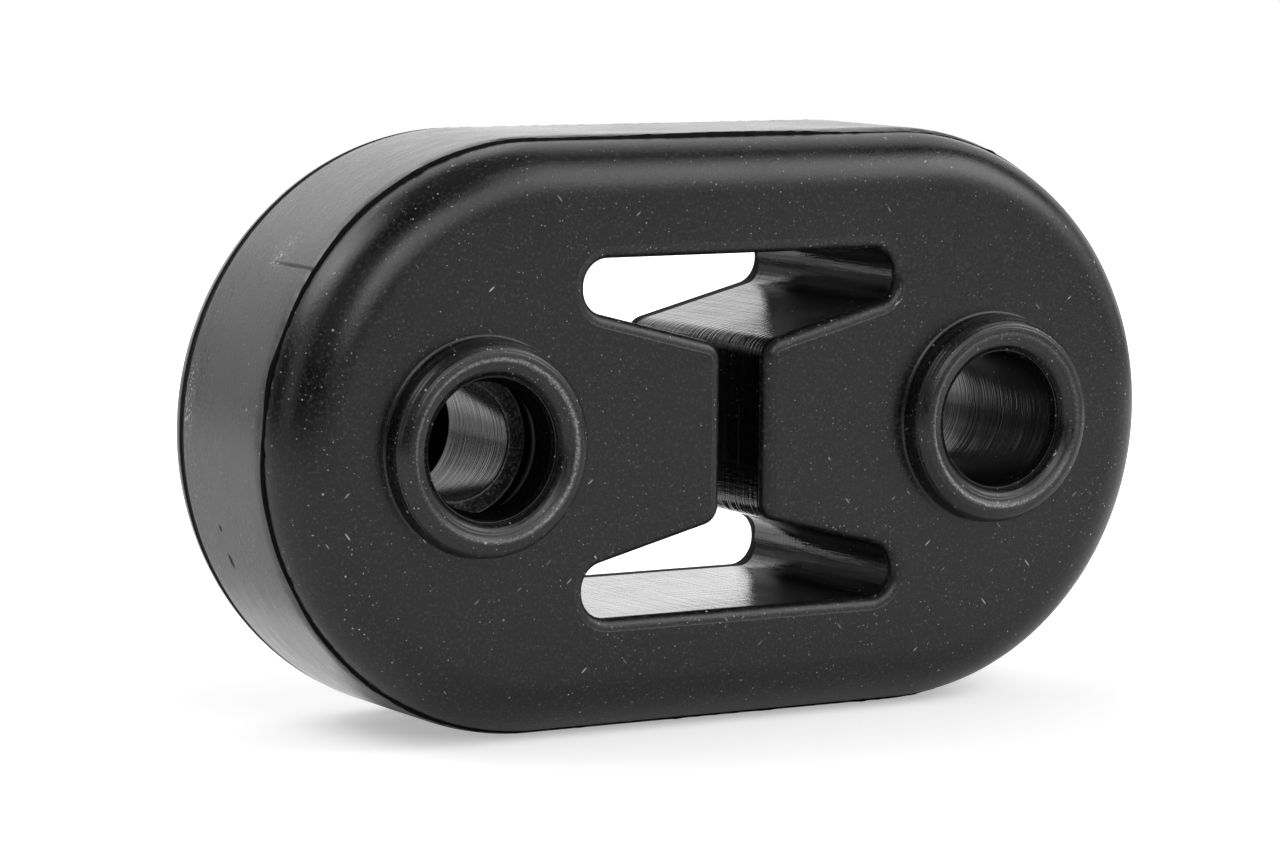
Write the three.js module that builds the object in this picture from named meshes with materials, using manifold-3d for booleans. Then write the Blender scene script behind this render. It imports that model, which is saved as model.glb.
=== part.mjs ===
// Exhaust hanger rubber: one moulded piece, in millimetres, +Z up. It stands on its lower flat, and its
// length runs along X. Each of its two faces looks along Y, the front one towards -Y.
import * as THREE from "three";
import { mergeVertices } from "three/addons/utils/BufferGeometryUtils.js";
import Module from "manifold-3d";

const wasm = await Module();
wasm.setup();

// Body: a racetrack outline, thick as a block, with its faces rolled over into a plain band
const BODY_HEIGHT = 50;
const END_CENTRE_SPAN = 36;
const BODY_THICKNESS = 24;
const EDGE_RADIUS = 4.8;
const BAND_STEP = 0.25;
const END_RADIUS = BODY_HEIGHT / 2;
const BAND_WIDTH = BODY_THICKNESS - 2 * EDGE_RADIUS;

// Opening: a slot above and one below, joined by the gap between the tips of two tongues
const OPENING_LENGTH = 30.5;
const OPENING_HEIGHT = 30;
const TONGUE_GAP = 4.2;
const TONGUE_TIP_HEIGHT = 14.9;
const TONGUE_TAPER = 0.255;
const SLOT_CORNER_RADIUS = 2.3;
const ROOT_CORNER_RADIUS = 2.2;
const TIP_CORNER_RADIUS = 1.7;
const LIP_RADIUS = 1.1;

// Bosses: a rounded ring about each bore, on both faces
const BORE_PITCH = 50;
const BOSS_RADIUS = 9;
const BOSS_HEIGHT = 2.6;
const BOSS_ROOT_RADIUS = 0.3;
const CROWN_RADIUS = 7.4;
const MOUTH_RADIUS = 5.8;
const MOUTH_DROP = 0.75;
const BOSS_SINK = 2;

// Plain bore: it narrows a little from both mouths to the middle
const PLAIN_MIDDLE_RADIUS = 5.6;

// Stepped bore: a lip at each mouth, a wider pocket behind it, and a tapered waist between the pockets
const LIP_NECK_RADIUS = 5.45;
const LIP_NECK_DEPTH = 2.9;
const POCKET_RADIUS = 6.4;
const WAIST_FRONT_RADIUS = 4.9;
const WAIST_BACK_RADIUS = 5.9;
const WAIST_FRONT_Y = -7.4;
const WAIST_BACK_Y = 5;

// Fineness of the curved surfaces
const END_SEGMENTS = 18;
const EDGE_SEGMENTS = 6;
const CORNER_SEGMENTS = 3;
const LIP_SEGMENTS = 3;
const ROUND_SEGMENTS = 40;
const CROWN_SEGMENTS = 4;

// How far a cut runs past the surface that it opens
const BORE_OVERRUN = 3;
const LIP_OVERRUN = 0.05;

const rubber = new THREE.MeshStandardMaterial({ color: 0x262628, roughness: 0.62, metalness: 0 });

// The racetrack outline of a given end radius, seen from the front
function racetrack(radius) {
  const half = END_CENTRE_SPAN / 2;
  const shape = new THREE.Shape();
  shape.absarc(half, 0, radius, -Math.PI / 2, Math.PI / 2, false);
  shape.absarc(-half, 0, radius, Math.PI / 2, (3 * Math.PI) / 2, false);
  shape.closePath();
  return shape;
}

// A closed outline through corners, each one [x, y, radius], with an arc at each corner
function roundedOutline(corners) {
  const shape = new THREE.Shape();
  corners.forEach(([x, y, radius], i) => {
    const corner = new THREE.Vector2(x, y);
    const before = corners.at(i - 1);
    const after = corners[(i + 1) % corners.length];
    const back = new THREE.Vector2(before[0], before[1]).sub(corner).normalize();
    const ahead = new THREE.Vector2(after[0], after[1]).sub(corner).normalize();
    const halfAngle = Math.acos(back.dot(ahead)) / 2;
    const bisector = back.clone().add(ahead).normalize();
    const centre = corner.clone().addScaledVector(bisector, radius / Math.sin(halfAngle));
    const start = corner.clone().addScaledVector(back, radius / Math.tan(halfAngle)).sub(centre);
    const end = corner.clone().addScaledVector(ahead, radius / Math.tan(halfAngle)).sub(centre);
    const turnsRight = back.cross(ahead) > 0;
    shape.absarc(centre.x, centre.y, radius, start.angle(), end.angle(), turnsRight);
  });
  shape.closePath();
  return shape;
}

// The opening between the tongues: its corners go round from the top right, and the tongue's flanks widen
// from the tip to the root
function openingOutline() {
  const side = OPENING_LENGTH / 2;
  const top = OPENING_HEIGHT / 2;
  const gap = TONGUE_GAP / 2;
  const tip = TONGUE_TIP_HEIGHT / 2;
  const root = tip + TONGUE_TAPER * (side - gap);
  return roundedOutline([
    [side, top, SLOT_CORNER_RADIUS],
    [-side, top, SLOT_CORNER_RADIUS],
    [-side, root, ROOT_CORNER_RADIUS],
    [-gap, tip, TIP_CORNER_RADIUS],
    [-gap, -tip, TIP_CORNER_RADIUS],
    [-side, -root, ROOT_CORNER_RADIUS],
    [-side, -top, SLOT_CORNER_RADIUS],
    [side, -top, SLOT_CORNER_RADIUS],
    [side, -root, ROOT_CORNER_RADIUS],
    [gap, -tip, TIP_CORNER_RADIUS],
    [gap, tip, TIP_CORNER_RADIUS],
    [side, root, ROOT_CORNER_RADIUS],
  ]);
}

// An outline drawn out along Y, centred in the body, with its two ends rounded in by a radius, or flared
// out where the radius is negative
function drawnOut(shape, thickness, radius, curveSegments, bevelSegments) {
  const geometry = new THREE.ExtrudeGeometry(shape, {
    depth: thickness - 2 * Math.abs(radius),
    bevelEnabled: radius !== 0,
    bevelThickness: Math.abs(radius),
    bevelSize: radius,
    bevelOffset: -radius,
    bevelSegments,
    curveSegments,
  });
  geometry.translate(0, 0, -(thickness / 2 - Math.abs(radius)));
  geometry.rotateX(Math.PI / 2);
  geometry.translate(0, 0, BODY_HEIGHT / 2);
  return geometry;
}

// A profile of [radius, y] points turned about the axis of the bore at x
function turned(profile, x) {
  const points = profile.map(([radius, y]) => new THREE.Vector2(radius, y));
  const geometry = new THREE.LatheGeometry(points, ROUND_SEGMENTS);
  geometry.translate(x, 0, BODY_HEIGHT / 2);
  return geometry;
}

// Points on an arc about a centre in the [radius, y] plane, from one angle to another
function arcPoints(centre, radius, from, to, segments) {
  return Array.from({ length: segments + 1 }, (_, i) => {
    const angle = from + ((to - from) * i) / segments;
    return [centre[0] + radius * Math.cos(angle), centre[1] + radius * Math.sin(angle)];
  });
}

// Both rings of one bore, turned as one spool that runs through the body. The crown falls steeply to the
// outside and gently to the mouth
function bossSpool(x) {
  const face = BODY_THICKNESS / 2;
  const outer = BOSS_RADIUS - CROWN_RADIUS;
  const reach = CROWN_RADIUS - MOUTH_RADIUS;
  const inner = (reach ** 2 + MOUTH_DROP ** 2) / (2 * MOUTH_DROP);
  const mouthAngle = Math.PI / 2 + Math.asin(reach / inner);
  const peak = face + BOSS_HEIGHT;
  const rootCentre = [BOSS_RADIUS + BOSS_ROOT_RADIUS, face + BOSS_ROOT_RADIUS];
  const half = [
    [BOSS_RADIUS + BOSS_ROOT_RADIUS, face - BOSS_SINK],
    ...arcPoints(rootCentre, BOSS_ROOT_RADIUS, -Math.PI / 2, -Math.PI, 2),
    ...arcPoints([CROWN_RADIUS, peak - outer], outer, 0, Math.PI / 2, CROWN_SEGMENTS),
    ...arcPoints([CROWN_RADIUS, peak - inner], inner, Math.PI / 2, mouthAngle, CROWN_SEGMENTS).slice(1),
    [0, peak - MOUTH_DROP],
  ];
  const mirrored = half.map(([radius, y]) => [radius, -y]).reverse();
  return turned([...mirrored, ...half], x);
}

// The cut of the plain bore
function plainBore(x) {
  const mouth = BODY_THICKNESS / 2 + BOSS_HEIGHT - MOUTH_DROP;
  const end = mouth + BORE_OVERRUN;
  return turned(
    [
      [0, -end],
      [MOUTH_RADIUS, -end],
      [MOUTH_RADIUS, -mouth],
      [PLAIN_MIDDLE_RADIUS, 0],
      [MOUTH_RADIUS, mouth],
      [MOUTH_RADIUS, end],
      [0, end],
    ],
    x,
  );
}

// The cut of the stepped bore
function steppedBore(x) {
  const mouth = BODY_THICKNESS / 2 + BOSS_HEIGHT - MOUTH_DROP;
  const end = mouth + BORE_OVERRUN;
  return turned(
    [
      [0, -end],
      [MOUTH_RADIUS, -end],
      [MOUTH_RADIUS, -mouth],
      [LIP_NECK_RADIUS, LIP_NECK_DEPTH - mouth],
      [POCKET_RADIUS, WAIST_FRONT_Y],
      [WAIST_FRONT_RADIUS, WAIST_FRONT_Y],
      [WAIST_BACK_RADIUS, WAIST_BACK_Y],
      [POCKET_RADIUS, WAIST_BACK_Y],
      [LIP_NECK_RADIUS, mouth - LIP_NECK_DEPTH],
      [MOUTH_RADIUS, mouth],
      [MOUTH_RADIUS, end],
      [0, end],
    ],
    x,
  );
}

// A geometry as a solid for joining and cutting
function solid(geometry) {
  const bare = geometry.clone();
  bare.deleteAttribute("normal");
  bare.deleteAttribute("uv");
  const merged = mergeVertices(bare, 1e-4);
  return new wasm.Manifold(
    new wasm.Mesh({
      numProp: 3,
      vertProperties: merged.attributes.position.array,
      triVerts: new Uint32Array(merged.index.array),
    }),
  );
}

// A solid as a geometry, with its normals
function geometryOf(shape) {
  const mesh = shape.getMesh();
  const geometry = new THREE.BufferGeometry();
  geometry.setAttribute("position", new THREE.BufferAttribute(mesh.vertProperties, 3));
  geometry.setIndex(new THREE.BufferAttribute(mesh.triVerts, 1));
  geometry.computeVertexNormals();
  return geometry;
}

// The whole moulding, as one solid
function hangerRubber() {
  const bore = BORE_PITCH / 2;
  const block = drawnOut(
    racetrack(END_RADIUS - BAND_STEP), BODY_THICKNESS, EDGE_RADIUS, END_SEGMENTS, EDGE_SEGMENTS);
  const band = drawnOut(racetrack(END_RADIUS), BAND_WIDTH, 0, END_SEGMENTS, 1);
  const opening = drawnOut(
    openingOutline(), BODY_THICKNESS + 2 * LIP_OVERRUN, -LIP_RADIUS, CORNER_SEGMENTS, LIP_SEGMENTS);
  const moulded = solid(block)
    .add(solid(band))
    .add(solid(bossSpool(-bore)))
    .add(solid(bossSpool(bore)))
    .subtract(solid(opening))
    .subtract(solid(steppedBore(-bore)))
    .subtract(solid(plainBore(bore)));
  const mesh = new THREE.Mesh(geometryOf(moulded), rubber);
  mesh.name = "hanger_rubber";
  return mesh;
}

const hanger = new THREE.Group();
hanger.name = "exhaust_hanger_rubber";
hanger.add(hangerRubber());

export default hanger;
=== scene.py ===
"""Exhaust hanger rubber: the dressed moulding, its rubber, the studio and the camera.

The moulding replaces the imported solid. Its sizes are in millimetres here, and its mesh is in metres.
"""
import math

import bpy
from mathutils import Matrix, Vector, noise
from mathutils.geometry import delaunay_2d_cdt


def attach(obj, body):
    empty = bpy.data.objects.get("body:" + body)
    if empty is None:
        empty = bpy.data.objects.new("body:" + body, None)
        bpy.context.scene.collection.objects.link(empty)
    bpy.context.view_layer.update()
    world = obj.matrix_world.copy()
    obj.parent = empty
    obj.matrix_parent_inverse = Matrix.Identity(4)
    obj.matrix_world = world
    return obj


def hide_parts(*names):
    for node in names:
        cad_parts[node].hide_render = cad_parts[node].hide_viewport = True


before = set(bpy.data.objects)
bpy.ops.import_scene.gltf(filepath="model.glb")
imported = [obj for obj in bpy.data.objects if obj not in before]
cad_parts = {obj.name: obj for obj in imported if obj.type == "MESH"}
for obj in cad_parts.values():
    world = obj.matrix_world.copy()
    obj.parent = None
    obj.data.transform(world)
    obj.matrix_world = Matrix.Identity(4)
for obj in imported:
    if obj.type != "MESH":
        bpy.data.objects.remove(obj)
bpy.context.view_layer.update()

MM = 0.001

# Body
HEIGHT = 50.0
END_SPAN = 36.0
THICKNESS = 24.0
EDGE_RADIUS = 4.8
BAND_HALF = 7.2
MIDDLE_Z = HEIGHT / 2
END_RADIUS = HEIGHT / 2
FACE = THICKNESS / 2

# Seams: the dull trimmed strips where the mould parts met, one at each edge of the band. The band stands
# proud at the front one and is nearly flush at the back one
FRONT_STEP = 0.4
BACK_STEP = 0.03
FRONT_STRIP = 0.3
BACK_STRIP = 0.6
SEAM_DEPTH = 0.1
BACK_TRIM_SINK = 0.02

# How ragged the seams are: slow and fast waves along them, which shift the trim in depth and sink it
SEAM_RAG = 0.34
SLOW_PITCH = 5.0
FAST_PITCH = 0.8
FAST_SHIFT = 0.7
FAST_SINK = 0.1
STRIP_SHIFT = 0.3
STRIP_SINK = 0.5
TRIM_DROP = 0.1
EDGE_SINK = 0.35

# How tall the front seam's step stands, by the length round the band from the bottom right
SEAM_HEIGHTS = (
    (0, 0.35), (70, 0.3), (79, 0.14), (84, 0.2), (89, 0.42), (97, 0.5), (104, 0.4), (112, 0.3), (118, 0.36),
    (126, 0.44), (133, 0.34), (138, 0.36), (144, 0.26), (147, 0.42), (151, 0.24), (158, 0.36), (166, 0.3),
    (176, 0.36), (195, 0.34), (230, 0.35),
)

# Opening
OPENING_LENGTH = 30.5
OPENING_HEIGHT = 30.0
TONGUE_GAP = 4.2
TONGUE_TIP = 14.9
TONGUE_TAPER = 0.255
SLOT_CORNER = 2.3
ROOT_CORNER = 2.2
TIP_CORNER = 1.7
LIP = 1.0
LIP_STEP = 0.06

# The dull strip at the opening's back lip: its width, what the level walls add to it, and its waves
BACK_EDGE = 0.25
BACK_EDGE_MORE = 1.0
BACK_EDGE_RAG = 0.15
BACK_EDGE_PITCH = 3.0
BACK_EDGE_SEED = 9
BACK_EDGE_ROWS = 3

# How deep the tool marks are on the opening's walls, from 0 to 1 at the tongues' tips
MARKS_OUTER = 0.45
MARKS_GAP = 0.34
MARKS_FLANK = 0.2
TIP_REACH_X = 1.6
TIP_REACH_Z = 1.4
GAP_MARGIN = 0.3
OUTER_MARGIN = 0.5

# Bosses and bores
BORE_X = 25.0
LENGTH_RADIUS = 6.0
BOSS_RADIUS = 9.0
BOSS_HEIGHT = 2.6
BOSS_ROOT = 0.3
BEAD_RADIUS = 7.6
BEAD_DROP = 1.6
MOUTH_RADIUS = 5.8

# Pale marks on the rings: a ridge painted pale, partly rubbing and partly a painted highlight, strongest at
# an angle about each bore on the side turned to the light; a pale line on the flash at the mouth; a little
# rubbing over the whole crown;
# and a dull mouth. One ring in the front pocket is painted pale too, a painted sheen
RIDGE_RADIUS = 7.45
RIDGE_WIDTH = 0.15
RIDGE_WEAR_AND_HIGHLIGHT = 1.25
LEFT_HIGHLIGHT_ANGLE = 0.6
LEFT_HIGHLIGHT_SHARE = 0.4
RIGHT_HIGHLIGHT_ANGLE = 4.1
RIGHT_HIGHLIGHT_SHARE = 0.75
FLASH_RADIUS = 5.96
FLASH_WIDTH = 0.04
CROWN_LOW = 1.5
CROWN_FADE = 0.6
CROWN_WEAR = 0.02
DULL_RADIUS = 6.5
DULL_FADE = 0.25
DULL_MOST = 0.65
POCKET_RING_Y = -9.6
POCKET_RING_WIDTH = 0.5
POCKET_RING_SHEEN = 0.8

# Fineness
END_STEPS = 220
STRAIGHT_STEPS = 100
ROUND_STEPS = 144
FILLET_STEPS = 14
BEAD_STEPS = 14
ROOT_STEPS = 5
CORNER_STEPS = 10
LIP_STEPS = 8
WALL_PITCH = 0.8


def station_loop():
    """Stations round the racetrack: a point on the middle line, the way out, and the length so far."""
    stations = []
    length = 0.0
    half = END_SPAN / 2
    arc = math.pi * END_RADIUS / END_STEPS
    straight = END_SPAN / STRAIGHT_STEPS
    for side in (1, -1):
        for i in range(END_STEPS):
            angle = -math.pi / 2 * side + math.pi * i / END_STEPS
            stations.append((side * half, math.cos(angle), math.sin(angle), length))
            length += arc
        for i in range(STRAIGHT_STEPS):
            stations.append((side * (half - i * straight), 0.0, float(side), length))
            length += straight
    return stations


def edge_section(step, strip):
    """The section from a face over its fillet and seam to the band, as (inset, y, kind), for y below 0."""
    points = []
    centre = EDGE_RADIUS + step
    last = math.acos(strip / EDGE_RADIUS)
    for i in range(FILLET_STEPS + 1):
        turn = last * i / FILLET_STEPS
        inset = centre - EDGE_RADIUS * math.sin(turn)
        points.append((inset, -BAND_HALF - EDGE_RADIUS * math.cos(turn), "face"))
    edge = points[-1][0]
    return points + [
        (edge + SEAM_DEPTH * 0.7, -BAND_HALF - strip * 0.8, "seam"),
        (edge + SEAM_DEPTH, -BAND_HALF - strip * 0.4, "seam"),
        (edge + SEAM_DEPTH * 0.6, -BAND_HALF - 0.02, "trim"),
        (0.05, -BAND_HALF + 0.01, "trim"),
        (0.0, -BAND_HALF + 0.06, "trim"),
        (0.0, -BAND_HALF + 0.35, "edge"),
        (0.0, -BAND_HALF + 0.9, "band"),
        (0.0, -BAND_HALF * 0.6, "band"),
        (0.0, -BAND_HALF * 0.3, "band"),
    ]


def seam_height(length):
    """The height of the front seam's step at a length round the band."""
    for (here, low), (there, high) in zip(SEAM_HEIGHTS, SEAM_HEIGHTS[1:]):
        if length <= there:
            return low + (high - low) * (length - here) / (there - here)
    return SEAM_HEIGHTS[-1][1]


def rag(length, seed, pitch):
    """A gentle random number along a line, the same on each run."""
    return noise.noise(Vector((length / pitch, seed * 7.3, 2.1)))


def ragged(kind, y, length):
    """How far a point of the outer section is shifted along Y, and how far it is sunk."""
    side = -1 if y < 0 else 1
    slow = rag(length, side, SLOW_PITCH)
    fast = rag(length, side + 3, FAST_PITCH)
    if kind == "seam":
        return STRIP_SHIFT * SEAM_RAG * slow, STRIP_SINK * SEAM_DEPTH * (slow + fast)
    if kind not in ("trim", "edge"):
        return 0.0, 0.0
    low = FRONT_STEP + TRIM_DROP - seam_height(length) if y < 0 else BACK_TRIM_SINK
    if kind == "edge":
        return 0.0, EDGE_SINK * max(0.0, low)
    return SEAM_RAG * (slow + FAST_SHIFT * fast), max(0.0, low + FAST_SINK * fast)


class Skin:
    """Collects the mesh: its points with their marks, how worn they are and their painted sheen, its faces,
    their materials and the two lengths.
    """

    def __init__(self):
        self.points = []
        self.marks_wear_and_sheen = {}
        self.faces = []
        self.kinds = []
        self.lengths = []

    def point(self, x, y, z):
        self.points.append((x, y, z))
        return len(self.points) - 1

    def face(self, corners, kind, lengths):
        self.faces.append(corners)
        self.kinds.append(kind)
        self.lengths.extend(lengths)


def grid(skin, rows, kind_of, round_total, flip=False):
    """Joins rows of points, each row one closed loop of (index, u, v), into quads."""
    count = len(rows[0])
    for r in range(len(rows) - 1):
        for i in range(count):
            j = (i + 1) % count
            a, b, c, d = rows[r][i], rows[r][j], rows[r + 1][j], rows[r + 1][i]
            wrap = round_total if j == 0 else 0.0
            corners = [a[0], b[0], c[0], d[0]]
            lengths = [(a[1], a[2]), (b[1] + wrap, b[2]), (c[1] + wrap, c[2]), (d[1], d[2])]
            if flip:
                corners.reverse()
                lengths.reverse()
            skin.face(corners, kind_of(r), lengths)


def outer_skin(skin):
    """The fillets, seams and band, all round. Returns the two loops that border the flat faces."""
    front = edge_section(FRONT_STEP, FRONT_STRIP)
    back = edge_section(BACK_STEP, BACK_STRIP)
    section = front + [(inset, -y, kind) for inset, y, kind in reversed(back)]
    stations = station_loop()
    total = 2 * math.pi * END_RADIUS + 2 * END_SPAN
    rows = []
    for inset, y, kind in section:
        row = []
        for x, out_x, out_z, length in stations:
            shift, sink = ragged(kind, y, length)
            reach = END_RADIUS - inset - sink
            point = skin.point(x + out_x * reach, y + shift, MIDDLE_Z + out_z * reach)
            row.append((point, length, y))
        rows.append(row)
    kinds = [entry[2] for entry in section]

    def kind_of(r):
        pair = (kinds[r], kinds[r + 1])
        if "seam" in pair or pair in (("trim", "trim"), ("edge", "trim")):
            return "seam"
        return "face" if "face" in pair else "band"

    grid(skin, rows, kind_of, total, True)
    return [entry[0] for entry in rows[0]], [entry[0] for entry in rows[-1]]


def opening_stations():
    """Stations round the opening: x, z, the way into the rubber, and the length so far."""
    side = OPENING_LENGTH / 2
    top = OPENING_HEIGHT / 2
    gap = TONGUE_GAP / 2
    tip = TONGUE_TIP / 2
    root = tip + TONGUE_TAPER * (side - gap)
    corners = [
        (side, top, SLOT_CORNER), (-side, top, SLOT_CORNER), (-side, root, ROOT_CORNER),
        (-gap, tip, TIP_CORNER), (-gap, -tip, TIP_CORNER), (-side, -root, ROOT_CORNER),
        (-side, -top, SLOT_CORNER), (side, -top, SLOT_CORNER), (side, -root, ROOT_CORNER),
        (gap, -tip, TIP_CORNER), (gap, tip, TIP_CORNER), (side, root, ROOT_CORNER),
    ]
    arcs = []
    for i, (x, z, radius) in enumerate(corners):
        corner = Vector((x, z))
        before = Vector(corners[i - 1][:2])
        after = Vector(corners[(i + 1) % len(corners)][:2])
        back = (before - corner).normalized()
        ahead = (after - corner).normalized()
        half = back.angle(ahead) / 2
        centre = corner + (back + ahead).normalized() * radius / math.sin(half)
        start = corner + back * radius / math.tan(half) - centre
        end = corner + ahead * radius / math.tan(half) - centre
        turn = start.angle_signed(end)
        outward = 1.0 if back.x * ahead.y - back.y * ahead.x < 0 else -1.0
        arcs.append((centre, start, turn, outward, radius))
    places = []
    for i, (centre, start, turn, outward, radius) in enumerate(arcs):
        for k in range(CORNER_STEPS + 1):
            arm = Matrix.Rotation(-turn * k / CORNER_STEPS, 2) @ start
            places.append((centre + arm, arm.normalized() * outward))
        far_centre, far_start = arcs[(i + 1) % len(arcs)][:2]
        here = places[-1][0]
        there = far_centre + far_start
        steps = max(1, round((there - here).length / WALL_PITCH))
        for k in range(1, steps):
            places.append((here.lerp(there, k / steps), places[-1][1].copy()))
    loop = []
    length = 0.0
    for i, (place, way) in enumerate(places):
        if i:
            length += (place - places[i - 1][0]).length
        loop.append((place.x, place.y, way.x, way.y, length))
    return loop, length + (places[0][0] - places[-1][0]).length


def comb(x, z):
    """How deep the tool marks are at a place on the opening's wall: most at the tips of the tongues, and
    more on the outermost walls than on the tongues' flanks."""
    if abs(z) > OPENING_HEIGHT / 2 - OUTER_MARGIN:
        return MARKS_OUTER
    along = (abs(x) - TONGUE_GAP / 2) / TIP_REACH_X
    up = (abs(z) - TONGUE_TIP / 2) / TIP_REACH_Z
    tip = math.exp(-along ** 2) * math.exp(-up ** 2)
    plain = MARKS_GAP if abs(x) < TONGUE_GAP / 2 + GAP_MARGIN else MARKS_FLANK
    return plain + (1.0 - plain) * tip


def opening_skin(skin):
    """The lips and walls of the opening. Returns the loops that border the flat faces."""
    stations, total = opening_stations()
    front = [(LIP + 0.12, -FACE), (LIP + 0.04, -FACE + LIP_STEP * 0.4), (LIP, -FACE + LIP_STEP)]
    for i in range(1, LIP_STEPS + 1):
        turn = math.pi / 2 * i / LIP_STEPS
        front.append((LIP - LIP * math.sin(turn), -FACE + LIP_STEP + LIP * (1 - math.cos(turn))))
    front.append((0.0, -FACE / 2))
    back_edge = (0.0, FACE - LIP_STEP - LIP - BACK_EDGE)
    section = front + [back_edge] + [(inset, -y) for inset, y in reversed(front[:-1])]
    rows = []
    for inset, y in section:
        row = []
        for x, z, way_x, way_z, length in stations:
            depth = y
            if (inset, y) == back_edge:
                depth += BACK_EDGE_RAG * rag(length, BACK_EDGE_SEED, BACK_EDGE_PITCH)
                depth -= BACK_EDGE_MORE * abs(way_z)
            place = skin.point(x + way_x * inset, depth, MIDDLE_Z + z + way_z * inset)
            skin.marks_wear_and_sheen[place] = comb(x, z)
            row.append((place, length, y))
        rows.append(row)
    lip_rows = len(front) - 2
    last = len(section) - 2

    def kind_of(r):
        if r < lip_rows or r > last - lip_rows + BACK_EDGE_ROWS:
            return "lip"
        return "seam" if r >= last - lip_rows else "wall"

    grid(skin, rows, kind_of, total)
    return [entry[0] for entry in rows[0]], [entry[0] for entry in rows[-1]]


def boss_profile():
    """One ring from its root over its bead and its dished mouth, as (radius, height over the face, kind)."""
    points = [(BOSS_RADIUS + BOSS_ROOT + 0.1, 0.0, "boss")]
    for i in range(1, ROOT_STEPS + 1):
        turn = math.pi / 2 * i / ROOT_STEPS
        radius = BOSS_RADIUS + BOSS_ROOT - BOSS_ROOT * math.sin(turn)
        points.append((radius, BOSS_ROOT * (1 - math.cos(turn)), "boss"))
    for i in range(BEAD_STEPS + 1):
        turn = math.pi / 2 * i / BEAD_STEPS
        radius = BEAD_RADIUS + (BOSS_RADIUS - BEAD_RADIUS) * math.cos(turn)
        points.append((radius, BOSS_HEIGHT - BEAD_DROP * (1 - math.sin(turn)), "boss"))
    dish = [
        (7.52, 2.59), (7.44, 2.555), (7.35, 2.505), (7.26, 2.45), (7.17, 2.4), (7.08, 2.36), (6.97, 2.33),
        (6.8, 2.28), (6.62, 2.2), (6.48, 2.1), (6.36, 1.99), (6.25, 1.88), (6.16, 1.77), (6.1, 1.67),
        (6.07, 1.7), (6.03, 1.68), (5.99, 1.52), (5.96, 1.5), (5.93, 1.53), (5.9, 1.45), (5.86, 1.25),
        (5.82, 1.05), (MOUTH_RADIUS, 0.85),
    ]
    return points + [(radius, height, "boss") for radius, height in dish]


def plain_profile():
    """Half of the plain bore, as (radius, y, kind), from the front mouth to the middle."""
    places = [(5.79, -12.6), (5.74, -9.0), (5.7, -5.0), (5.66, -2.2), (5.6, -1.4), (5.6, 0.0)]
    return [(radius, y, "bore") for radius, y in places]


def stepped_profile():
    """The whole stepped bore, as (radius, y, kind), from the front mouth to the back one."""
    front_pocket = [
        (5.74, -12.6), (5.6, -12.3), (5.42, -11.8), (5.38, -11.5), (5.42, -11.1), (5.7, -10.6),
        (5.87, -10.2), (5.96, -9.9), (6.06, -9.6), (6.15, -9.3), (6.24, -9.0), (6.34, -8.5), (6.4, -7.5),
        (6.36, -7.42),
    ]
    shoulder = [(6.2, -7.4), (5.8, -7.4), (5.4, -7.4), (5.1, -7.4), (4.96, -7.37)]
    waist = [(4.9, -7.28), (4.92, -7.0), (5.1, -5.0), (5.4, -1.0), (5.7, 3.0), (5.86, 4.8)]
    back_pocket = [
        (5.95, 4.97), (6.2, 5.0), (6.38, 5.05), (6.4, 5.3), (6.38, 8.2), (6.2, 9.4), (5.7, 10.6),
        (5.42, 11.1), (5.38, 11.5), (5.42, 11.8), (5.6, 12.3), (5.74, 12.6),
    ]
    kinds = ("pocket", "shoulder", "waist", "pocket")
    parts = (front_pocket, shoulder, waist, back_pocket)
    return [(radius, y, kind) for kind, part in zip(kinds, parts) for radius, y in part]


def bell(value, middle, width):
    """A smooth bump of height 1 about a middle value."""
    return math.exp(-((value - middle) / width) ** 2)


def ring_wear_and_highlight(radius, y, angle, side):
    """How pale a place is painted: a little on a boss's whole crown, as rubbing; most on its ridge, partly
    rubbing and partly a painted highlight, strongest on the side turned to the light; a pale line on the
    flash at the mouth; and a painted sheen on one ring in the front pocket. Below zero it is dull, as inside
    the mouth."""
    height = abs(y) - FACE
    if height < 0:
        # Painted sheen on one ring in the front pocket
        return POCKET_RING_SHEEN * bell(y, POCKET_RING_Y, POCKET_RING_WIDTH) if side < 0 else 0.0
    dull = DULL_MOST * min(1.0, max(0.0, (DULL_RADIUS - radius) / DULL_FADE))
    if height < CROWN_LOW:
        return -dull
    crown = CROWN_WEAR * min(1.0, (height - CROWN_LOW) / CROWN_FADE)
    flash = bell(radius, FLASH_RADIUS, FLASH_WIDTH)
    ridge = bell(radius, RIDGE_RADIUS, RIDGE_WIDTH)
    # Painted highlight: the ridge is paler on the side of each ring that is turned to the light
    if side < 0:
        share = LEFT_HIGHLIGHT_SHARE
        turned_to = math.cos(angle - LEFT_HIGHLIGHT_ANGLE)
    else:
        share = RIGHT_HIGHLIGHT_SHARE
        turned_to = max(0.0, math.cos(angle - RIGHT_HIGHLIGHT_ANGLE)) ** 2
    facing = 1.0 - share + share * turned_to
    return crown + flash + RIDGE_WEAR_AND_HIGHLIGHT * ridge * facing - dull


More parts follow.
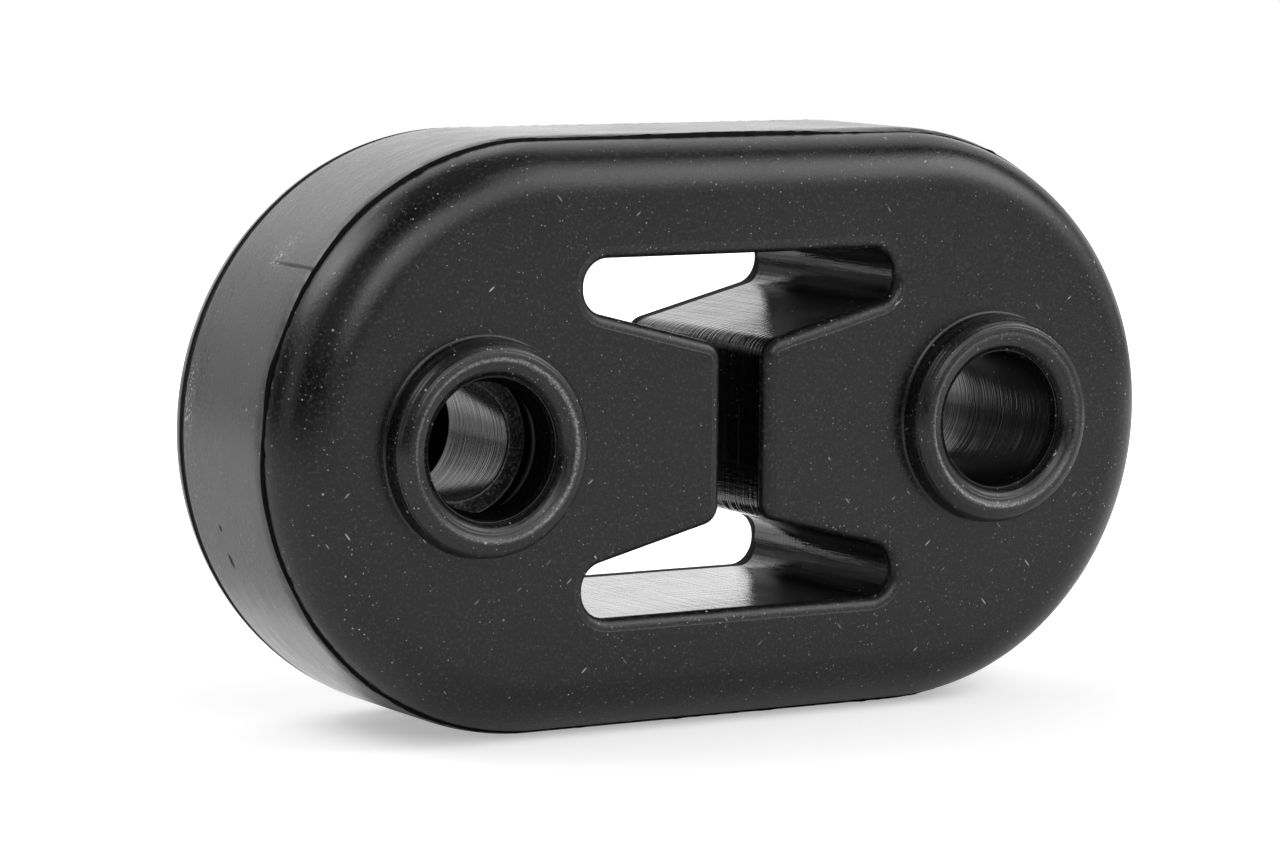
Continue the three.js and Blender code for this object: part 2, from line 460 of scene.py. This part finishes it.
def bore_skin(skin, x, bore):
    """Both rings and the bore between them. Returns the loops that border the flat faces. The length round
    a ring is its angle times a radius of 6 mm, whatever its true radius."""
    ring = boss_profile()
    front = [(radius, -FACE - height, kind) for radius, height, kind in ring]
    back = [(radius, -y, kind) for radius, y, kind in reversed(front)]
    section = front + bore + back
    rows = []
    along = 0.0
    for r, (radius, y, kind) in enumerate(section):
        if r:
            along += math.dist(section[r - 1][:2], (radius, y))
        row = []
        for i in range(ROUND_STEPS):
            angle = 2 * math.pi * i / ROUND_STEPS
            place = skin.point(x + radius * math.cos(angle), y, MIDDLE_Z + radius * math.sin(angle))
            skin.marks_wear_and_sheen[place] = ring_wear_and_highlight(radius, y, angle, x)
            row.append((place, angle * LENGTH_RADIUS, along))
        rows.append(row)
    kinds = [entry[2] for entry in section]

    def kind_of(r):
        pair = (kinds[r], kinds[r + 1])
        for kind in ("shoulder", "pocket", "waist", "bore"):
            if kind in pair:
                return kind
        return "boss"

    grid(skin, rows, kind_of, 2 * math.pi * LENGTH_RADIUS)
    return [entry[0] for entry in rows[0]], [entry[0] for entry in rows[-1]]


def inside(place, loop):
    """Whether a flat point lies inside a closed loop of flat points."""
    hit = False
    x, z = place
    for i, (ax, az) in enumerate(loop):
        bx, bz = loop[i - 1]
        if (az > z) != (bz > z) and x < (bx - ax) * (z - az) / (bz - az) + ax:
            hit = not hit
    return hit


def flat_face(skin, outer, holes, facing):
    """Fills the flat face between the outer loop and the holes. Facing is -1 in front and 1 behind."""
    loops = [outer] + holes
    flat = []
    edges = []
    source = []
    for loop in loops:
        start = len(flat)
        for i, index in enumerate(loop):
            flat.append(Vector((skin.points[index][0], skin.points[index][2])))
            source.append(index)
            edges.append((start + i, start + (i + 1) % len(loop)))
    result = delaunay_2d_cdt(flat, edges, [], 1, 1e-6, True)
    places, triangles, origin = result[0], result[2], result[3]
    hole_loops = [[(skin.points[i][0], skin.points[i][2]) for i in loop] for loop in holes]
    for triangle in triangles:
        middle = (places[triangle[0]] + places[triangle[1]] + places[triangle[2]]) / 3
        if any(inside(middle, loop) for loop in hole_loops):
            continue
        corners = [source[origin[i][0]] for i in triangle]
        a, b, c = (places[i] for i in triangle)
        turns_left = (b - a).cross(c - a) > 0
        if turns_left != (facing < 0):
            corners.reverse()
        skin.face(corners, "face", [(skin.points[i][0], skin.points[i][2]) for i in corners])


MATERIALS = ("face", "seam", "band", "lip", "wall", "boss", "bore", "waist", "pocket", "shoulder")


def moulding():
    """The whole moulding as one closed mesh."""
    skin = Skin()
    outer_front, outer_back = outer_skin(skin)
    open_front, open_back = opening_skin(skin)
    step_front, step_back = bore_skin(skin, -BORE_X, stepped_profile())
    half = plain_profile()
    plain = half + [(radius, -y, kind) for radius, y, kind in reversed(half[:-1])]
    plain_front, plain_back = bore_skin(skin, BORE_X, plain)
    flat_face(skin, outer_front, [open_front, step_front, plain_front], -1)
    flat_face(skin, outer_back, [open_back, step_back, plain_back], 1)
    mesh = bpy.data.meshes.new("moulding")
    mesh.from_pydata([Vector(p) * MM for p in skin.points], [], skin.faces)
    layer = mesh.uv_layers.new(name="lengths")
    for loop, (u, v) in zip(layer.data, skin.lengths):
        loop.uv = (u, v)
    for polygon, kind in zip(mesh.polygons, skin.kinds):
        polygon.material_index = MATERIALS.index(kind)
        polygon.use_smooth = True
    marks_wear_and_sheen = mesh.attributes.new("marks_wear_and_sheen", "FLOAT", "POINT")
    for index, amount in skin.marks_wear_and_sheen.items():
        marks_wear_and_sheen.data[index].value = amount
    mesh.update()
    set_normals(mesh)
    piece = bpy.data.objects.new("moulding", mesh)
    bpy.context.scene.collection.objects.link(piece)
    return piece


def set_normals(mesh):
    """Gives each point the mean of its faces' normals, weighed by area, so the flats stay flat."""
    sums = [Vector((0, 0, 0)) for _ in mesh.vertices]
    for polygon in mesh.polygons:
        weighed = polygon.normal * polygon.area
        for index in polygon.vertices:
            sums[index] += weighed
    mesh.normals_split_custom_set_from_vertices([total.normalized() for total in sums])


# Rubber: the scales of its patterns, per metre, the tones that they add, and the grain's height in metres
RUBBER_INDEX = 1.5
MOTTLE_SCALE = 75.0
CLUMP_SCALE = 130.0
GRAIN_SCALE = 3600.0
GRAIN_TONE = 0.024
GRAIN_BUMP = 0.28
GRAIN_HEIGHT = 0.00006
DUST_TONE = 0.42

# Dust: two layers of specks and two of fibres, each one as (cell in millimetres, share of the cells, size in
# millimetres, seed, turn, stretch)
SMALL_SPECKS = (0.42, 0.42, 0.08, 3.0, 0.0, 1.0)
LARGE_SPECKS = (1.1, 0.22, 0.15, 11.0, 0.0, 1.0)
RISING_FIBRES = (0.7, 0.14, 0.075, 19.0, 0.9, 6.0)
FALLING_FIBRES = (0.7, 0.14, 0.075, 27.0, -0.7, 5.0)

# Lines that run round a wall: their length and pitches in millimetres, and their heights in metres
LINE_LENGTH = 20.0
LINE_HEIGHT = 0.0001
TOOL_MARK_HEIGHT = 0.00007
TOOL_MARK_PITCH = 0.28
BOSS_LINE_PITCH = 0.34
BORE_LINE_PITCH = 0.22
WAIST_LINE_PITCH = 0.36

# Marks on the band, each one as (length round the band, y, half its length, half its width along y, and
# where its soft edge ends, as a share of the way out from its middle)
# The nicks and the crease are dents, painted dark as painted shade
SHORT_NICK = (161.2, 2.0, 0.35, 0.28, 0.6)
LONG_NICK = (164.2, 2.1, 0.8, 0.35, 0.6)
CREASE = (138.1, -4.4, 0.25, 5.6, 0.3)
CREASE_SHARE = 0.7
# The two patches are near-white speckle, painted glints
STRONG_GLINT_PATCH = (150.5, 6.0, 4.2, 1.1, 0.1)
WEAK_GLINT_PATCH = (137.0, -0.8, 2.6, 1.8, 0.0)
WEAK_GLINT_PATCH_SHARE = 0.8


class Graph:
    """Short names for the nodes of one material."""

    def __init__(self, name):
        self.material = bpy.data.materials.new(name)
        self.material.use_nodes = True
        self.nodes = self.material.node_tree.nodes
        self.links = self.material.node_tree.links
        self.shader = self.nodes["Principled BSDF"]
        self.place = self.nodes.new("ShaderNodeTexCoord").outputs["Object"]
        lengths = self.nodes.new("ShaderNodeUVMap")
        lengths.uv_map = "lengths"
        self.lengths = lengths.outputs["UV"]

    def put(self, socket, value):
        if isinstance(value, bpy.types.NodeSocket):
            self.links.new(value, socket)
        else:
            socket.default_value = value

    def marks_wear_and_sheen(self):
        node = self.nodes.new("ShaderNodeAttribute")
        node.attribute_name = "marks_wear_and_sheen"
        return node.outputs["Fac"]

    def scaled(self, vector, scale):
        node = self.nodes.new("ShaderNodeVectorMath")
        node.operation = "MULTIPLY"
        self.put(node.inputs[0], vector)
        node.inputs[1].default_value = scale
        return node.outputs[0]

    def noise(self, vector, scale, detail=2.0, rough=0.5):
        node = self.nodes.new("ShaderNodeTexNoise")
        self.put(node.inputs["Vector"], vector)
        node.inputs["Scale"].default_value = scale
        node.inputs["Detail"].default_value = detail
        node.inputs["Roughness"].default_value = rough
        return node.outputs["Fac"]

    def cells(self, vector, scale):
        node = self.nodes.new("ShaderNodeTexVoronoi")
        self.put(node.inputs["Vector"], vector)
        node.inputs["Scale"].default_value = scale
        return node.outputs["Distance"], node.outputs["Color"]

    def math(self, operation, a, b=0.0, c=0.0):
        node = self.nodes.new("ShaderNodeMath")
        node.operation = operation
        self.put(node.inputs[0], a)
        self.put(node.inputs[1], b)
        self.put(node.inputs[2], c)
        return node.outputs[0]

    def span(self, value, low, high, to_low=0.0, to_high=1.0):
        node = self.nodes.new("ShaderNodeMapRange")
        self.put(node.inputs["Value"], value)
        node.inputs["From Min"].default_value = low
        node.inputs["From Max"].default_value = high
        node.inputs["To Min"].default_value = to_low
        node.inputs["To Max"].default_value = to_high
        return node.outputs["Result"]

    def mix(self, factor, a, b):
        node = self.nodes.new("ShaderNodeMix")
        node.data_type = "RGBA"
        self.put(node.inputs[0], factor)
        self.put(node.inputs[6], a)
        self.put(node.inputs[7], b)
        return node.outputs[2]

    def bump(self, height, strength, distance, under=None):
        node = self.nodes.new("ShaderNodeBump")
        node.inputs["Strength"].default_value = strength
        node.inputs["Distance"].default_value = distance
        self.put(node.inputs["Height"], height)
        if under is not None:
            self.put(node.inputs["Normal"], under)
        return node.outputs["Normal"]


def specks(graph, clumps, layer, dust):
    """A mask of one layer of dust: a speck in some of the cells, more of them where dust clumps. Stretched
    ones are fibres, which lie at a turn in the plane of the faces."""
    cell, share, size, seed, turn, stretch = layer
    moved = graph.nodes.new("ShaderNodeMapping")
    moved.vector_type = "TEXTURE"
    graph.put(moved.inputs["Vector"], graph.place)
    moved.inputs["Location"].default_value = (-seed * MM, -seed * 0.7 * MM, -seed * 1.9 * MM)
    moved.inputs["Rotation"].default_value = (0.0, turn, 0.0)
    moved.inputs["Scale"].default_value = (stretch * MM, MM, MM)
    distance, colour = graph.cells(moved.outputs["Vector"], 1.0 / cell)
    split = graph.nodes.new("ShaderNodeSeparateColor")
    graph.links.new(colour, split.inputs[0])
    chosen = graph.math("LESS_THAN", split.outputs[0], graph.math("MULTIPLY", clumps, share * dust))
    reach = graph.math("MULTIPLY_ADD", split.outputs[1], size * 0.7 / cell, size * 0.4 / cell)
    near = graph.math("DIVIDE", distance, reach)
    dot = graph.span(near, 1.0, 0.6)
    faded = graph.math("MULTIPLY", dot, graph.span(split.outputs[2], 0.0, 1.0, 0.2, 1.0))
    return graph.math("MULTIPLY", chosen, faded)


def spot(graph, mark):
    """A soft oval mask of one mark on the band."""
    length, y, half_length, half_y, edge = mark
    away = graph.nodes.new("ShaderNodeVectorMath")
    away.operation = "SUBTRACT"
    graph.links.new(graph.lengths, away.inputs[0])
    away.inputs[1].default_value = (length, y, 0.0)
    size = graph.nodes.new("ShaderNodeVectorMath")
    size.operation = "LENGTH"
    graph.put(size.inputs[0], graph.scaled(away.outputs[0], (1.0 / half_length, 1.0 / half_y, 0.0)))
    return graph.span(size.outputs["Value"], 1.0, edge)


def ridges(graph, pitch):
    """Uneven fine lines that run round a wall."""
    flow = graph.scaled(graph.lengths, (1.0 / LINE_LENGTH, 0.6 / pitch, 0.0))
    return graph.noise(flow, 1.6, 1.0, 0.7)


def grey(tone, blue=1.0):
    """A grey as a node's colour, a little blue where asked."""
    return (tone, tone, tone * blue, 1)


def rubber(name, tone, rough, dust=1.0, grain=1.0, lines=0.0, pitch=0.0):
    """Black rubber with fine grain, soft mottling, clumped specks and fibres of dust, and lines of a pitch
    where asked. Returns its graph, colour, roughness and normal, for a finish to add to."""
    g = Graph(name)
    patch = g.span(g.noise(g.place, MOTTLE_SCALE, 4.0, 0.6), 0.3, 0.7)
    fine = g.noise(g.place, GRAIN_SCALE, 3.0, 0.7)
    colour = g.mix(patch, grey(tone * 0.75, 1.04), grey(tone * 1.25, 1.04))
    colour = g.mix(g.span(fine, 0.54, 0.66), colour, grey(tone + GRAIN_TONE * grain))
    clumps = g.span(g.noise(g.place, CLUMP_SCALE, 2.0, 0.6), 0.36, 0.64, 0.3, 1.7)
    small = specks(g, clumps, SMALL_SPECKS, dust)
    large = specks(g, clumps, LARGE_SPECKS, dust)
    rising = specks(g, clumps, RISING_FIBRES, dust)
    falling = specks(g, clumps, FALLING_FIBRES, dust)
    dots = g.math("MAXIMUM", g.math("MAXIMUM", small, large), g.math("MAXIMUM", rising, falling))
    colour = g.mix(dots, colour, grey(DUST_TONE))
    uneven = g.math("ADD", g.span(patch, 0.0, 1.0, rough - 0.05, rough + 0.05),
                    g.span(fine, 0.3, 0.7, -0.03 * grain, 0.03 * grain))
    rough_map = g.math("ADD", uneven, g.math("MULTIPLY", dots, 0.3))
    normal = g.bump(fine, min(1.0, GRAIN_BUMP * grain), GRAIN_HEIGHT)
    if lines:
        normal = g.bump(ridges(g, pitch), lines, LINE_HEIGHT, normal)
    return g, colour, rough_map, normal


def finish(g, colour, rough_map, normal, shine=0.5):
    """Wires a colour, roughness and normal into the shader, with a shine from 0 to 1."""
    g.put(g.shader.inputs["Base Color"], colour)
    g.put(g.shader.inputs["Roughness"], rough_map)
    g.put(g.shader.inputs["Normal"], normal)
    g.shader.inputs["IOR"].default_value = RUBBER_INDEX
    g.put(g.shader.inputs["Specular IOR Level"], shine)
    return g.material


def face_rubber():
    """The faces and their fillets: smooth, with the dust that lies on them."""
    return finish(*rubber("rubber_face", tone=0.001, rough=0.3))


def seam_rubber():
    """The torn strip that trimming leaves: dull and rough."""
    g = Graph("rubber_seam")
    torn = g.noise(g.place, 2600.0, 3.0, 0.7)
    g.shader.inputs["Base Color"].default_value = grey(0.003)
    g.shader.inputs["Roughness"].default_value = 0.85
    g.shader.inputs["Specular IOR Level"].default_value = 0.2
    g.put(g.shader.inputs["Normal"], g.bump(torn, 0.8, 0.0001))
    return g.material


def band_rubber():
    """The band: faint streaks along it, two nicks and a crease painted dark as the shade in them, and two
    patches of pale speckle, painted glints.
    """
    g, colour, rough_map, normal = rubber("rubber_band", tone=0.072, rough=0.31, dust=0.9, grain=1.2)
    drawn = g.noise(g.scaled(g.lengths, (0.08, 1.4, 0.0)), 2.2, 5.0, 0.7)
    rough_map = g.math("ADD", rough_map, g.span(drawn, 0.3, 0.7, -0.08, 0.08))
    normal = g.bump(drawn, 0.12, 0.00012, normal)
    nicks = g.math("MAXIMUM", spot(g, SHORT_NICK), spot(g, LONG_NICK))
    dents_and_painted_shade = g.math("MAXIMUM", nicks, g.math("MULTIPLY", spot(g, CREASE), CREASE_SHARE))
    # Painted shade: the nicks and the crease are painted nearly black
    colour = g.mix(dents_and_painted_shade, colour, grey(0.002))
    rough_map = g.math("ADD", rough_map, g.math("MULTIPLY", dents_and_painted_shade, 0.5))
    normal = g.bump(g.math("SUBTRACT", 1.0, dents_and_painted_shade), 0.5, 0.0001, normal)
    speckle = g.span(g.noise(g.place, 4200.0, 2.0, 0.7), 0.56, 0.66)
    weak = g.math("MULTIPLY", spot(g, WEAK_GLINT_PATCH), WEAK_GLINT_PATCH_SHARE)
    glint_patches = g.math("MAXIMUM", spot(g, STRONG_GLINT_PATCH), weak)
    # Painted glints: near-white speckle in the two patches
    colour = g.mix(g.math("MULTIPLY", glint_patches, speckle), colour, grey(0.9))
    return finish(g, colour, rough_map, normal)


def lip_rubber():
    """The rounded lips of the opening: grainier and dustier than the faces."""
    return finish(*rubber("rubber_lip", tone=0.004, rough=0.34, dust=1.3, grain=1.6))


def wall_rubber():
    """The cut walls: glossy, with tool marks round them as deep as each point says, and drawn streaks."""
    g, colour, rough_map, normal = rubber("rubber_wall", tone=0.001, rough=0.1, dust=0.15, grain=0.5)
    depth = g.math("MULTIPLY", ridges(g, TOOL_MARK_PITCH), g.marks_wear_and_sheen())
    normal = g.bump(depth, 1.0, TOOL_MARK_HEIGHT, normal)
    drawn = g.noise(g.scaled(g.lengths, (1.4, 0.06, 0.0)), 1.6, 3.0, 0.7)
    normal = g.bump(drawn, 0.4, 0.0001, normal)
    return finish(g, colour, rough_map, normal, shine=g.span(drawn, 0.35, 0.65, 0.15, 0.46))


def boss_rubber():
    """The rings: grainy, and pale on the crown where each point says: partly rubbing, and partly a painted
    highlight on the ridge.
    """
    g, colour, rough_map, normal = rubber("rubber_boss", tone=0.003, rough=0.3, dust=1.3, grain=0.8,
                                          lines=0.8, pitch=BOSS_LINE_PITCH)
    speckle = g.span(g.noise(g.place, 4600.0, 3.0, 0.8), 0.44, 0.56, 0.22, 1.0)
    amount = g.math("MULTIPLY", g.marks_wear_and_sheen(), speckle)
    # Painted highlight and rubbing: pale speckle where each point says, most on the ridge's lit side
    colour = g.mix(amount, colour, grey(0.28))
    return finish(g, colour, rough_map, normal, shine=g.span(g.marks_wear_and_sheen(), -1.0, 0.0, 0.0, 0.5))


def bore_rubber():
    """The plain bore: fine rings round it, some glossier than others."""
    g, colour, rough_map, normal = rubber("rubber_bore", tone=0.001, rough=0.22, dust=0.2, grain=0.3,
                                          lines=0.35, pitch=BORE_LINE_PITCH)
    rings = ridges(g, BORE_LINE_PITCH)
    return finish(g, colour, rough_map, normal, shine=g.span(rings, 0.35, 0.65, 0.28, 0.52))


def waist_rubber():
    """The waist of the stepped bore: rings round it, the glossier ones also painted a little pale, a painted
    sheen.
    """
    g, colour, rough_map, normal = rubber("rubber_waist", tone=0.001, rough=0.24, dust=0.2, grain=0.3,
                                          lines=0.4, pitch=WAIST_LINE_PITCH)
    rings = g.span(ridges(g, WAIST_LINE_PITCH), 0.38, 0.62)
    # Painted sheen: the glossier rings are also painted a little pale
    colour = g.mix(rings, colour, grey(0.02))
    return finish(g, colour, rough_map, normal, shine=g.span(rings, 0.0, 1.0, 0.1, 0.42))


def pocket_rubber():
    """The pockets: dull, with one ring painted pale where each point says, a painted sheen."""
    g, colour, rough_map, normal = rubber("rubber_pocket", tone=0.002, rough=0.6, dust=0.1, grain=0.3)
    # Painted sheen: the ring in the front pocket is painted pale
    colour = g.mix(g.marks_wear_and_sheen(), colour, grey(0.3))
    return finish(g, colour, rough_map, normal, shine=0.0)


def shoulder_rubber():
    """The step into the waist: rough, painted lighter than the pockets beside it, with pale speckle for its
    sparkle: painted light and painted glints.
    """
    # Painted light: the step's tone is raised for the light that it lacks under the neck
    g, colour, rough_map, normal = rubber("rubber_shoulder", tone=0.008, rough=0.35, grain=2.0)
    speckle = g.span(g.noise(g.place, 5200.0, 2.0, 0.8), 0.52, 0.68)
    # Painted glints: pale speckle stands in for the sparkle of the grains
    colour = g.mix(speckle, colour, grey(0.16))
    return finish(g, colour, rough_map, normal)


def dress(piece):
    """Gives each part of the surface its own finish, in the order of MATERIALS."""
    finishes = {
        "face": face_rubber, "seam": seam_rubber, "band": band_rubber, "lip": lip_rubber,
        "wall": wall_rubber, "boss": boss_rubber, "bore": bore_rubber, "waist": waist_rubber,
        "pocket": pocket_rubber, "shoulder": shoulder_rubber,
    }
    for kind in MATERIALS:
        piece.data.materials.append(finishes[kind]())


# Studio: soft panels on a circle of one metre round the part, each one as
# (name, azimuth, elevation, width, height, radiance). Azimuth 0 is in front of the part and 90 to its right
PANELS = [
    ("key_left", 39, 36, 0.43, 0.44, 2.9),
    ("key_right", 67.5, 36, 0.45, 0.44, 3.8),
    ("key_top", 45, 56, 0.45, 0.25, 2.0),
    ("front", 5, 28, 0.5, 0.6, 2.1),
    ("front_left", 348, 27, 0.3, 0.35, 2.9),
    ("right_low_a", 40, 12, 0.64, 0.4, 0.8),
    ("right_low_b", 78, 12, 0.64, 0.4, 0.8),
    ("right_mid", 74, 20, 0.45, 0.14, 0.8),
    ("left_front", 325, 34, 0.8, 0.6, 0.4),
    ("left", 270, 26, 0.5, 0.9, 0.7),
    ("left_high", 253, 54, 0.5, 0.42, 3.2),
    ("back_left", 226, 42, 0.7, 0.42, 3.0),
    ("back_low_a", 120, 8, 0.53, 0.31, 1.0),
    ("back_low_b", 150, 8, 0.53, 0.31, 1.7),
    ("back_low_c", 180, 8, 0.53, 0.31, 1.5),
    ("back_low_d", 210, 8, 0.53, 0.31, 0.35),
    ("back_mid_a", 130, 26, 0.7, 0.31, 0.9),
    ("back_mid_b", 172, 26, 0.7, 0.31, 1.65),
    ("back_mid_c", 208, 22, 0.45, 0.26, 0.5),
    ("back_high_a", 130, 47, 0.6, 0.42, 1.05),
    ("back_high_b", 172, 50, 0.6, 0.5, 1.3),
    ("top", 20, 84, 0.5, 0.5, 0.25),
]
WORLD_GREY = 0.005

# A small panel just above the floor behind the part, which lights the floor there
TABLE_GLOW_PLACE = (0.01, 0.055, 0.0005)
TABLE_GLOW_SIZE = 0.1
TABLE_GLOW_RADIANCE = 0.9

# The floor, as the part sees it and as the camera sees it. Its shadow shows within the near distance, and
# it is white beyond the far one
FLOOR_REACH = 0.6
FLOOR_TONE = 0.8
FLOOR_GLOW = 0.07
FLOOR_SEEN_TONE = 0.8
FLOOR_SEEN_GLOW = 0.4
FLOOR_CLEAR_GLOW = 1.0
SHADOW_NEAR = 0.04
SHADOW_FAR = 0.11

# Camera
LENS = 136.17
SENSOR_WIDTH = 36.0
EYE_PLACE = Vector((-0.21299, -0.35565, 0.07179))
EYE_RIGHT = Vector((0.861676, -0.507387, 0.008443))
EYE_UP = Vector((0.050646, 0.102534, 0.993442))
EYE_AHEAD = Vector((0.504919, 0.855602, -0.114045))


def panel(name, place, way, width, height, radiance):
    """A soft rectangular light that shines back along its way, set by its radiance."""
    data = bpy.data.lights.new(name, "AREA")
    data.shape = "RECTANGLE"
    data.size = width
    data.size_y = height
    data.energy = radiance * math.pi * width * height
    light = bpy.data.objects.new(name, data)
    light.location = place
    light.rotation_euler = way.to_track_quat("Z", "Y").to_euler()
    light.visible_camera = False
    bpy.context.scene.collection.objects.link(light)


def white_to_camera(tree, shader, output, white):
    """Shows the camera a white shader and every other ray the given one."""
    path = tree.nodes.new("ShaderNodeLightPath")
    mix = tree.nodes.new("ShaderNodeMixShader")
    tree.links.new(path.outputs["Is Camera Ray"], mix.inputs[0])
    tree.links.new(shader, mix.inputs[1])
    tree.links.new(white, mix.inputs[2])
    tree.links.new(mix.outputs[0], output)


def studio():
    """The panels and a nearly black world, which the camera alone sees as white."""
    middle = Vector((0, 0, MIDDLE_Z * MM))
    for name, azimuth, elevation, width, height, radiance in PANELS:
        turn, rise = math.radians(azimuth), math.radians(elevation)
        way = Vector((math.sin(turn) * math.cos(rise), -math.cos(turn) * math.cos(rise), math.sin(rise)))
        panel(name, middle + way, way, width, height, radiance)
    size = TABLE_GLOW_SIZE
    panel("table_glow", Vector(TABLE_GLOW_PLACE), Vector((0, 0, -1)), size, size, TABLE_GLOW_RADIANCE)
    world = bpy.data.worlds.new("studio")
    bpy.context.scene.world = world
    world.use_nodes = True
    tree = world.node_tree
    dim = tree.nodes["Background"]
    dim.inputs["Color"].default_value = grey(WORLD_GREY)
    white = tree.nodes.new("ShaderNodeBackground")
    white.inputs["Color"].default_value = grey(1.0)
    white_to_camera(tree, dim.outputs[0], tree.nodes["World Output"].inputs["Surface"], white.outputs[0])


def glow_by_distance(tree):
    """The seen floor's glow: less near the part, where its shadow shows, and white further out."""
    place = tree.nodes.new("ShaderNodeTexCoord")
    away = tree.nodes.new("ShaderNodeVectorMath")
    away.operation = "LENGTH"
    tree.links.new(place.outputs["Object"], away.inputs[0])
    ramp = tree.nodes.new("ShaderNodeMapRange")
    ramp.interpolation_type = "SMOOTHSTEP"
    ramp.inputs["From Min"].default_value = SHADOW_NEAR
    ramp.inputs["From Max"].default_value = SHADOW_FAR
    ramp.inputs["To Min"].default_value = FLOOR_SEEN_GLOW
    ramp.inputs["To Max"].default_value = FLOOR_CLEAR_GLOW
    tree.links.new(away.outputs["Value"], ramp.inputs["Value"])
    return ramp.outputs["Result"]


def matte(tree, tone, glow):
    """A matte shader of a tone, which also glows white."""
    shader = tree.nodes.new("ShaderNodeBsdfPrincipled")
    shader.inputs["Base Color"].default_value = grey(tone)
    shader.inputs["Roughness"].default_value = 0.9
    shader.inputs["Specular IOR Level"].default_value = 0.0
    shader.inputs["Emission Color"].default_value = grey(1.0)
    shader.inputs["Emission Strength"].default_value = glow
    return shader


def floor():
    """A plain pale floor under the part, which the camera sees as white with a soft shadow."""
    mesh = bpy.data.meshes.new("floor")
    far = FLOOR_REACH
    corners = [(-far, -far, 0), (far, -far, 0), (far, far, 0), (-far, far, 0)]
    mesh.from_pydata(corners, [], [(0, 1, 2, 3)])
    piece = bpy.data.objects.new("floor", mesh)
    bpy.context.scene.collection.objects.link(piece)
    material = bpy.data.materials.new("floor")
    material.use_nodes = True
    tree = material.node_tree
    tree.nodes.remove(tree.nodes["Principled BSDF"])
    output = tree.nodes["Material Output"].inputs["Surface"]
    plain = matte(tree, FLOOR_TONE, FLOOR_GLOW)
    seen = matte(tree, FLOOR_SEEN_TONE, FLOOR_SEEN_GLOW)
    tree.links.new(glow_by_distance(tree), seen.inputs["Emission Strength"])
    white_to_camera(tree, plain.outputs[0], output, seen.outputs[0])
    mesh.materials.append(material)


def camera():
    """The camera of the photograph."""
    data = bpy.data.cameras.new("camera")
    data.sensor_width = SENSOR_WIDTH
    data.lens = LENS
    data.clip_start = 0.01
    data.clip_end = 50.0
    eye = bpy.data.objects.new("camera", data)
    columns = (EYE_RIGHT, EYE_UP, -EYE_AHEAD, EYE_PLACE)
    rows = [[column[i] for column in columns] for i in range(3)]
    eye.matrix_world = Matrix(rows + [[0, 0, 0, 1]])
    bpy.context.scene.collection.objects.link(eye)
    bpy.context.scene.camera = eye


piece = moulding()
dress(piece)
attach(piece, "root")
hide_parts("hanger_rubber")
floor()
studio()
camera()
view = bpy.context.scene.view_settings
view.view_transform = "Standard"
